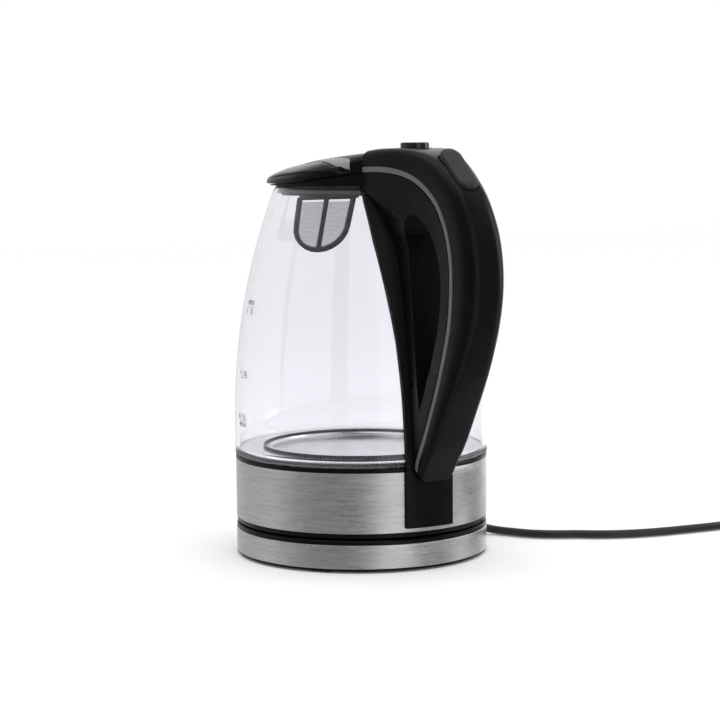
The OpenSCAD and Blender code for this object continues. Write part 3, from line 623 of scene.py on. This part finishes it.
def makePlate(s):
    place(lathe("plateTop", s["plate"], 200), "jug", "plate_steel", plateSteel, "heating_plate")
    place(lathe("wellWall", s["wellWall"], 180), "jug", "satin_black", satinBlack)
    beads = beadRing("wellBeads", s["wellRadius"], s["wellHeight"], s["wellBeads"], s["wellBeadR"], 0.0,
                     s["wellSquash"])
    place(beads, "jug", "satin_black", glossBlack)


makeSeal(sealSettings)
makePlate(plateSettings)
print("stage: seal and plate")


# steel bands, rims and base
bandSettings = {
    "radius": 80.0, "jug": (24.2, 61.2), "base": (2.6, 17.2),
    "upperRing": [(70, 60.8), (76.6, 60.8), (76.6, 61.3), (79.6, 61.3), (79.9, 61.5), (80.05, 61.9), (80.05, 63.3),
                  (79.8, 63.8), (79.3, 64.0), (70, 64.0), (70, 60.8)],
}


def makeBand(name, span):
    low, high = span
    r = bandSettings["radius"]
    profile = [(r - 0.6, low), (r - 0.25, low + 0.02), (r - 0.05, low + 0.15), (r, low + 0.4)]
    profile += [(r, low + 0.4 + (high - low - 0.8) * i / 6) for i in range(1, 7)]
    profile += [(r - 0.05, high - 0.15), (r - 0.25, high - 0.02), (r - 0.6, high)]
    return lathe(name, profile, 240, angle=80)


place(makeBand("jugBand", bandSettings["jug"]), "jug", "band_steel", bandSteel, "jug_steel_band")
place(makeBand("baseBand", bandSettings["base"]), "power_base", "band_steel", bandSteel, "base_steel_band")
place(lathe("upperRing", bandSettings["upperRing"], 200), "jug", "satin_black", satinBlack, "band_top_ring")
print("stage: bands")


# handle: the line where shell and frame part, the ridge of the shell, and the width at each of their points
handleSettings = {
    "halfWidth": 14.5, "shell": 2.4, "trim": 3.8, "trimProud": 0.02, "fine": 4, "corner": 9.5,
    "part": [(48.3, 243), (58, 243.2), (68, 242.8), (78, 241.3), (88, 238.2), (97, 233.6), (105.5, 227.6),
             (113, 220.3), (119.6, 210), (123.6, 199.8), (125.8, 189.5), (126.3, 178.5), (125.8, 166.5), (124.2, 154),
             (121, 141.8), (117, 130), (112.2, 117.6), (106.8, 105.4), (101.3, 94), (95.2, 82.6), (88.8, 72.4),
             (84.9, 64.5), (84.1, 57.5)],
    "ridge": [(48.3, 254.6), (58, 255.5), (70, 255.7), (82, 254.9), (95, 252.2), (107, 247.4), (118, 239.6),
              (127.6, 230.2), (135, 219), (140.8, 206.5), (144.2, 192.5), (145.2, 178), (143.8, 163.5), (140.2, 149.5),
              (134.4, 135.5), (128.3, 122.5), (121, 109.5), (113.8, 97.5), (107.5, 86.5), (101.4, 76), (95, 67),
              (90.5, 60.5), (87.6, 55.5)],
    "width": [1.82, 1.72, 1.55, 1.35, 1.18, 1.08, 1.02, 1, 1, 1, 1, 1, 1, 1, 1, 1, 0.99, 0.98, 0.97, 0.94, 0.9, 0.86,
              0.8],
    "endShrink": (0.72, 0.86, 0.94, 0.985),
}


def handleStations(s):
    # each station is a point on the part line, the way to the ridge, how far that is, and the half width
    parts = smoothLine(s["part"], s["fine"])
    ridges = smoothLine(s["ridge"], s["fine"])
    widths = [w[0] for w in smoothLine([(w,) for w in s["width"]], s["fine"])]
    out = []
    for p, q, w in zip(parts, ridges, widths):
        dx, dz = q[0] - p[0], q[1] - p[1]
        length = math.hypot(dx, dz)
        out.append((p, (dx / length, dz / length), length, w * s["halfWidth"]))
    return out


def cornerPoints(w, l, r, quarters, side):
    # a rounded corner of the section, from the flank to the top on the left, or back down on the right
    turns = [math.pi / 2 * q for q in quarters]
    if side < 0:
        return [(-w + r - r * math.cos(a), l - r + r * math.sin(a)) for a in turns]
    return [(w - r + r * math.sin(a), l - r + r * math.cos(a)) for a in turns]


def shellSection(w, l, r, t):
    fine = [k / 10 for k in range(11)]
    coarse = [k / 4 for k in (4, 3, 2, 1, 0)]
    outer = [(-w + 0.35, 0.0), (-w, 0.35)]
    outer += [(-w, (l - r) * k / 3) for k in (1, 2)]
    outer += cornerPoints(w, l, r, fine, -1) + cornerPoints(w, l, r, fine, 1)
    outer += [(w, (l - r) * k / 3) for k in (2, 1)]
    outer += [(w, 0.35), (w - 0.35, 0.0)]
    wi, li, ri = w - t, l - t, max(0.8, r - t)
    inner = cornerPoints(wi, li, ri, coarse, 1) + cornerPoints(wi, li, ri, coarse, -1)
    return outer + [(wi, 0.0)] + inner + [(-wi, 0.0)]


def makeShell(s):
    rings = []
    stations = handleStations(s)
    for index, (p, a, length, w) in enumerate(stations):
        l = length - s["trim"] / 2
        left = len(stations) - 1 - index
        shrink = s["endShrink"][left] if left < len(s["endShrink"]) else 1.0
        section = shellSection(w, l, min(s["corner"], 0.62 * l), min(s["shell"], 0.38 * l))
        base = (p[0] + a[0] * s["trim"] / 2, p[1] + a[1] * s["trim"] / 2)
        high = 0.8 + 0.2 * shrink
        rings.append([(base[0] + a[0] * v * high, u * shrink, base[1] + a[1] * v * high) for u, v in section])
    return loft("handleShell", rings, angle=50)


def cutWith(obj, cutter):
    mod = obj.modifiers.new("cut", "BOOLEAN")
    mod.operation = "DIFFERENCE"
    mod.solver = "EXACT"
    mod.object = cutter
    bpy.context.view_layer.update()
    mesh = bpy.data.meshes.new_from_object(obj.evaluated_get(bpy.context.evaluated_depsgraph_get()))
    obj.modifiers.clear()
    obj.data = mesh
    bpy.data.objects.remove(cutter)


rockerSettings = {
    "x": 113.6, "z": 242.8, "tilt": 38.0, "proud": 3.0, "length": 35.0, "width": 14.0, "axleDepth": 4,
    "cap": [(0.0, -1.5), (0.0, 0.9), (0.25, 1.7), (0.8, 2.25), (1.6, 2.5)], "dish": 0.55,
}
buttonSettings = {
    "x": 66, "hole": 9.2,
    "cap": [(0, 247), (3, 247), (3, 251.8), (8.0, 251.8), (8.6, 252.4), (8.75, 253.0), (8.75, 258.2), (8.6, 258.75),
            (8.2, 259.1), (7.4, 259.15), (6.8, 259.0), (5.0, 258.9), (0, 258.85)],
    "bezel": [(8.95, 253.0), (9.0, 255.3), (9.4, 255.75), (10.4, 255.9), (11.0, 255.6), (11.1, 254.6), (8.95, 253.0)],
}


def rockerMatrix(s, extra):
    # extra turns the rocker on its axle, which lies below the face
    toAxle = Matrix.Translation((0, 0, -s["axleDepth"] * mm))
    fromAxle = Matrix.Translation((0, 0, s["axleDepth"] * mm))
    seat = Matrix.Translation((s["x"] * mm, 0, s["z"] * mm)) @ Matrix.Rotation(math.radians(s["tilt"]), 4, "Y")
    return seat @ toAxle @ Matrix.Rotation(math.radians(extra), 4, "Y") @ fromAxle


def slotOutline(l, w, n=14):
    r = w / 2
    out = [(l / 2 - r + r * math.sin(math.pi * k / n), r * math.cos(math.pi * k / n)) for k in range(n + 1)]
    out += [(-l / 2 + r - r * math.sin(math.pi * k / n), -r * math.cos(math.pi * k / n)) for k in range(n + 1)]
    return out


def slotSolid(name, l, w, z0, z1):
    outline = slotOutline(l, w)[::-1]
    return loft(name, [[(x, y, z) for x, y in outline] for z in (z0, z1)])


def turnedAt(name, profile, x, steps):
    obj = lathe(name, profile, steps)
    obj.data.transform(Matrix.Translation((x * mm, 0, 0)))
    return obj


shell = makeShell(handleSettings)
pocket = slotSolid("pocket", rockerSettings["length"] + 1.6, rockerSettings["width"] + 1.2, -9, 12)
pocket.data.transform(rockerMatrix(rockerSettings, 0))
cutWith(shell, pocket)
holeR = buttonSettings["hole"]
cutWith(shell, turnedAt("buttonHole", [(0, 246), (holeR, 246), (holeR, 262), (0, 262)], buttonSettings["x"], 64))
shell.data.shade_smooth()
shell.data.set_sharp_from_angle(angle=math.radians(38))
place(bevelled(shell, 0.25, 2, 50), "jug", "satin_black", satinBlack, "handle_outer_shell")


def makeTrim(s):
    made = []
    h = s["trim"] / 2 - 0.12
    for side in (-1, 1):
        rings = []
        for p, a, length, w in handleStations(s)[:-3]:
            face = w + s["trimProud"]
            half = [(w - 2.2, h), (w - 0.5, h), (w - 0.1, h - 0.4), (face, h - 1.0)]
            section = [(u, -v) for u, v in half] + half[::-1]
            ring = [(p[0] + a[0] * v, side * u, p[1] + a[1] * v) for u, v in section]
            rings.append(ring if side > 0 else ring[::-1])
        made.append(loft("trim", rings, angle=60))
    return joined("handleTrim", made)


place(makeTrim(handleSettings), "jug", "grey_trim", trimGrey, "handle_trim")


# rocker and button
def makeRocker(s):
    def outline(inset):
        return slotOutline(s["length"] - 2 * inset, s["width"] - 2 * inset, 20)[::-1]

    rings = [[(x, y, z) for x, y in outline(inset)] for inset, z in s["cap"]]
    top = s["cap"][-1][1]
    for inset in (3.0, 4.6, 6.0):
        deep = s["dish"] * (1 - (1 - inset / (s["width"] / 2)) ** 2)
        rings.append([(x, y, top + deep * (abs(x) / (s["length"] / 2)) ** 0.8) for x, y in outline(inset)])
    obj = loft("rockerCap", rings, angle=60)
    obj.data.transform(rockerMatrix(s, s["proud"]))
    return obj


place(makeRocker(rockerSettings), "rocker", "rocker_black", matBlack, "rocker")
button = turnedAt("buttonCap", buttonSettings["cap"], buttonSettings["x"], 96)
place(button, "button", "gloss_black", glossBlack, "lid_button")
bezel = turnedAt("buttonBezel", buttonSettings["bezel"], buttonSettings["x"], 96)
place(bezel, "jug", "satin_black", satinBlack)
print("stage: handle")


# lid
lidSettings = {
    "edge": 234.4, "rim": 1.5, "lift": 6.0, "slope": 3.0, "ridge": 238.6, "rise": 13,
    "front": 71.0, "back": 54.0, "halfWidth": 54, "hingeX": 44.4, "hingeZ": 251.0, "hingeR": 3.2,
}
# lines on one flank in plan, with the height of each skin above the lid
flankSettings = {
    "lidInlay": {"upper": [(12.4, 34.5), (23.2, 33.7), (34.8, 32.6), (41.6, 31.0)],
                 "lower": [(20.0, 38.9), (34.0, 39.3), (40.0, 35.8), (43.2, 32.4)], "rise": 0.75},
    "lidLeaf": {"upper": [(-46, 40.0), (20.0, 39.6), (34.0, 40.0), (40.0, 36.5), (43.2, 33.1)],
                "lower": [(-46, 40.6), (-22, 49.6), (8, 50.6), (28, 45.4), (41.5, 35.4)], "rise": 0.22},
}


def lidEdgeZ(x):
    return lidSettings["edge"] + lidSettings["lift"] * max(0.0, x / 46) ** 1.6


def lidHalfW(x):
    reach = lidSettings["front"] if x < 0 else lidSettings["back"]
    return lidSettings["halfWidth"] * math.sqrt(max(0.0004, 1 - (x / reach) ** 2))


def lidTopZ(x):
    s = lidSettings
    rise = s["rise"] + 0.4 * x / 48
    if x < 0:
        rise = s["rise"] * max(0.0, 1 - abs(x / s["front"]) ** 1.6) ** 0.9
    return s["ridge"] + x * math.tan(math.radians(s["slope"])) + rise


def lidFall(x):
    return 1.2 - 0.6 * max(0.0, x) / 48


def lidSlice(x, w, top):
    rim = lidSettings["rim"]
    e = lidEdgeZ(x) + rim
    n = 40
    ring = [(x, -w + 0.5, e - rim), (x, -w + 0.1, e - rim + 0.3)]
    for k in range(n + 1):
        a = math.pi * k / n
        ring.append((x, -w * math.cos(a), e + (top - e) * max(0.0, math.sin(a)) ** lidFall(x)))
    return ring + [(x, w - 0.1, e - rim + 0.3), (x, w - 0.5, e - rim)]


def makeLid(s):
    xs = [-s["front"] * math.cos(math.radians(90 * k / 34)) for k in range(34)] + [1.3 * k for k in range(35)]
    rings = [lidSlice(x, lidHalfW(x), lidTopZ(x)) for x in xs if x < s["hingeX"] - 0.1]
    for k in range(4):
        a = math.radians(30 * k)
        x = s["hingeX"] + s["hingeR"] * math.sin(a)
        rings.append(lidSlice(x, lidHalfW(x), s["hingeZ"] + s["hingeR"] * math.cos(a)))
    return loft("lidShell", [r[::-1] for r in rings], angle=45)


def lidSurface(x, y):
    e, w = lidEdgeZ(x) + lidSettings["rim"], lidHalfW(x)
    return e + (lidTopZ(x) - e) * math.sqrt(max(0.0, 1 - (y / w) ** 2)) ** lidFall(x)


def lidPatch(name, s, side):
    # a skin on one flank of the lid between two lines drawn in plan, thinner toward its edges
    steps, across = 44, 8
    top, low = smoothLine(s["upper"], 12), smoothLine(s["lower"], 12)
    points = []
    for i in range(steps + 1):
        t = i / steps
        a = top[round(t * (len(top) - 1))]
        b = low[round(t * (len(low) - 1))]
        for k in range(across + 1):
            u = k / across
            x, y = a[0] + (b[0] - a[0]) * u, a[1] + (b[1] - a[1]) * u
            fade = s["rise"] * min(1.0, 6 * min(u, 1 - u) + 0.25) * min(1.0, 8 * min(t, 1 - t) + 0.2)
            points.append((x, side * y, lidSurface(x, y) + fade))
    n = across + 1
    cells = [i * n + k for i in range(steps) for k in range(across)]
    faces = [[c, c + n, c + n + 1, c + 1][::-side] for c in cells]
    obj = makeMesh(name, points, faces, angle=70)
    mod = obj.modifiers.new("thick", "SOLIDIFY")
    mod.thickness = 0.4 * mm
    mod.offset = -1
    return obj


place(makeLid(lidSettings), "lid", "gloss_black", satinBlack, "lid_top")
for side in (-1, 1):
    tag = "A" if side < 0 else "B"
    inlay = lidPatch("lidInlay" + tag, flankSettings["lidInlay"], side)
    place(inlay, "lid", "grey_trim", inlayGrey, *(["lid_inlays"] if side < 0 else []))
    leaf = lidPatch("lidLeaf" + tag, flankSettings["lidLeaf"], side)
    place(leaf, "lid", "gloss_black", glossBlack)
print("stage: lid")


# filter cloth, on both sides of the middle rib
filterSettings = {
    "x": -40.6, "z": 226.2, "lean": 20.0, "pitch": 0.9, "wire": 0.11,
    "top": -4.8, "roundFrom": -22, "halfWidth": 18.2, "depth": 15.2, "rib": 1.2,
}


def inFilter(y, z):
    s = filterSettings
    if z > s["top"] or abs(y) <= s["rib"]:
        return False
    if z >= s["roundFrom"]:
        return abs(y) < s["halfWidth"]
    return (y / s["halfWidth"]) ** 2 + ((z - s["roundFrom"]) / s["depth"]) ** 2 < 1


def makeCloth(s):
    lean = math.radians(s["lean"])
    h = s["wire"]
    points, faces = [], []

    def thread(p, q, across):
        # a flat thread from p to q, each (y, z) in the plane of the frame
        dy, dz = (0, h) if across else (h, 0)
        base = len(points)
        for (y, z), way in ((p, -1), (p, 1), (q, 1), (q, -1)):
            y, z = y + way * dy, z + way * dz
            points.append((s["x"] + z * math.sin(lean), y, s["z"] + z * math.cos(lean)))
        faces.append([base, base + 1, base + 2, base + 3])

    n = int(40 / s["pitch"])
    for i in range(-n, n + 1):
        y = i * s["pitch"]
        zs = [-4.9 - 0.1 * k for k in range(330)]
        inside = [z for z in zs if inFilter(y, z)]
        if inside:
            thread((y, inside[0]), (y, inside[-1]), False)
    for i in range(6, 60):
        z = -i * s["pitch"]
        for side in (-1, 1):
            inside = [side * 0.1 * k for k in range(190) if inFilter(side * 0.1 * k, z)]
            if len(inside) > 3:
                thread((inside[0], z), (inside[-1], z), True)
    obj = makeMesh("filterCloth", points, faces, smooth=False)
    mod = obj.modifiers.new("thick", "SOLIDIFY")
    mod.thickness = 0.2 * mm
    return obj


place(makeCloth(filterSettings), "jug", "filter_cloth", meshCloth, "filter_mesh")
print("stage: filter")


# CAD nodes that show as they are
slotMaterials = {
    "satin_black": satinBlack, "gloss_black": glossBlack, "rocker_black": matBlack, "band_steel": bandSteel,
    "plate_steel": plateSteel, "jug_glass": jugGlass, "clear_seal": clearRubber, "soft_seal": softSeal,
    "foot_rubber": footRubber, "grey_trim": trimGrey, "contact_brass": brassMetal, "screw_steel": brightSteel,
    "spreader_aluminium": spreaderMetal, "connector_cream": creamPlastic, "wire_cover": wireCover,
    "lead_rubber": leadRubber, "pin_nickel": brightSteel, "filter_cloth": meshCloth,
}
roundedNodes = {
    "handle_frame": 0.7, "hinge_bracket": 0.4, "latch_slider": 0.3, "base_upper_shell": 0.3, "base_lower_shell": 0.2,
    "jug_bottom_cover": 0.3, "neck_collar": 0.3, "filter_frame": 0.35, "lid_inner_plate": 0.3, "base_feet": 0.3,
    "cord_clamp": 0.3, "cord_strain_relief": 0.25, "steam_duct": 0.3, "switch_block": 0.3, "lid_catch": 0.3,
}
slotOf = {s["node"]: s["material_slot"] for s in frame["record"]["subparts"]}
for name, obj in nodes.items():
    obj.data.materials.clear()
    obj.data.materials.append(slotMaterials[slotOf[name]])
    if obj.hide_render:
        continue
    for p in obj.data.polygons:
        p.use_smooth = True
    if name in roundedNodes:
        mod = obj.modifiers.new("rounded", "BEVEL")
        mod.width = roundedNodes[name] * mm
        mod.segments = 2
        mod.limit_method = "ANGLE"
        mod.angle_limit = math.radians(40)
    mod = obj.modifiers.new("split", "EDGE_SPLIT")
    mod.split_angle = math.radians(32)
print("stage: CAD nodes")


# stage and light
lightSettings = {
    "world": 1.0, "aim": (0, 0, 0.13), "floorTone": 0.96, "floorGlow": 0.05, "floorReach": 4000,
    "panels": [(-180, 0.9), (-150, 0.72), (-125, 0.56), (-108, 0.58), (-84, 0.74), (-68, 0.44), (-56, 0.34),
               (-20, 0.25), (2, 0.25), (12, 0.3), (19, 1.2), (38, 1.25), (50, 0.34), (85, 0.26), (96, 1.05),
               (108, 1.0), (118, 0.34), (134, 0.4), (150, 1.3), (180, 1.1)],
    "panelTurn": 30.8,
    "lamps": [("sideSoft", 3, 0.4, 1.0, (0.43, 1.12, 0.5)), ("topSoft", 4, 1.2, 0.8, (0.1, -0.1, 1.35))],
}


def shineOnly(tree):
    # one for a mirrored ray, zero for a ray that came through glass
    path = addNode(tree, "ShaderNodeLightPath")
    less = addNode(tree, "ShaderNodeMath", operation="SUBTRACT")
    less.use_clamp = True
    tree.links.new(path.outputs["Is Glossy Ray"], less.inputs[0])
    tree.links.new(path.outputs["Transmission Depth"], less.inputs[1])
    return less.outputs[0]


def makeStage(s):
    # pale paper and a plain pale sky, with soft panels and dark gaps that show only in shiny surfaces
    world = bpy.data.worlds.new("studio")
    world.use_nodes = True
    tree = world.node_tree
    sky = tree.nodes["Background"]
    coord = addNode(tree, "ShaderNodeTexCoord")
    split = addNode(tree, "ShaderNodeSeparateXYZ")
    tree.links.new(coord.outputs["Generated"], split.inputs[0])
    turn = addNode(tree, "ShaderNodeMath", operation="ARCTAN2")
    tree.links.new(split.outputs["Y"], turn.inputs[0])
    tree.links.new(split.outputs["X"], turn.inputs[1])
    scaled = addNode(tree, "ShaderNodeMath", operation="MULTIPLY_ADD")
    tree.links.new(turn.outputs[0], scaled.inputs[0])
    scaled.inputs[1].default_value = 1 / (2 * math.pi)
    scaled.inputs[2].default_value = 0.5 + s["panelTurn"] / 360
    wrapped = addNode(tree, "ShaderNodeMath", operation="FRACT")
    tree.links.new(scaled.outputs[0], wrapped.inputs[0])
    ramp = addNode(tree, "ShaderNodeValToRGB")
    stops = ramp.color_ramp.elements
    for index, (degrees, level) in enumerate(s["panels"]):
        spot = (degrees + 180) / 360
        element = stops[index] if index < 2 else stops.new(spot)
        element.position = spot
        element.color = (level, level, level * 1.01, 1)
    tree.links.new(wrapped.outputs[0], ramp.inputs[0])
    pick = addNode(tree, "ShaderNodeMix", data_type="RGBA")
    tree.links.new(shineOnly(tree), pick.inputs[0])
    pick.inputs[6].default_value = (s["world"],) * 3 + (1,)
    tree.links.new(ramp.outputs[0], pick.inputs[7])
    tree.links.new(pick.outputs[2], sky.inputs[0])
    bpy.context.scene.world = world
    r = s["floorReach"]
    floor = makeMesh("floor", [(-r, -r, 0), (r, -r, 0), (r, r, 0), (-r, r, 0)], [[0, 1, 2, 3]], smooth=False)
    mat, tree, shader = newMaterial("floorPaper")
    coord = addNode(tree, "ShaderNodeTexCoord").outputs["Object"]
    tone = s["floorTone"]
    paper = colourMix(tree, noiseFrom(tree, coord, 3), (tone - 0.01,) * 3, (tone,) * 3)
    tree.links.new(paper, shader.inputs["Base Color"])
    shader.inputs["Emission Color"].default_value = (1, 1, 1, 1)
    shader.inputs["Emission Strength"].default_value = s["floorGlow"]
    clear = addNode(tree, "ShaderNodeBsdfTransparent")
    blend = addNode(tree, "ShaderNodeMixShader")
    tree.links.new(shineOnly(tree), blend.inputs[0])
    tree.links.new(shader.outputs[0], blend.inputs[1])
    tree.links.new(clear.outputs[0], blend.inputs[2])
    tree.links.new(blend.outputs[0], tree.nodes["Material Output"].inputs["Surface"])
    shader.inputs["Roughness"].default_value = 0.9
    shader.inputs["Specular IOR Level"].default_value = 0.1
    floor.data.materials.append(mat)


def areaLight(name, energy, size, sizeY, where):
    data = bpy.data.lights.new(name, "AREA")
    data.shape = "RECTANGLE"
    data.size, data.size_y = size, sizeY
    data.energy = energy
    obj = bpy.data.objects.new(name, data)
    bpy.context.scene.collection.objects.link(obj)
    obj.location = where
    obj.rotation_mode = "QUATERNION"
    obj.rotation_quaternion = (Vector(where) - Vector(lightSettings["aim"])).to_track_quat("Z", "Y")


makeStage(lightSettings)
for lamp in lightSettings["lamps"]:
    areaLight(*lamp)
bpy.context.scene.view_settings.view_transform = "Standard"
print("stage: light")
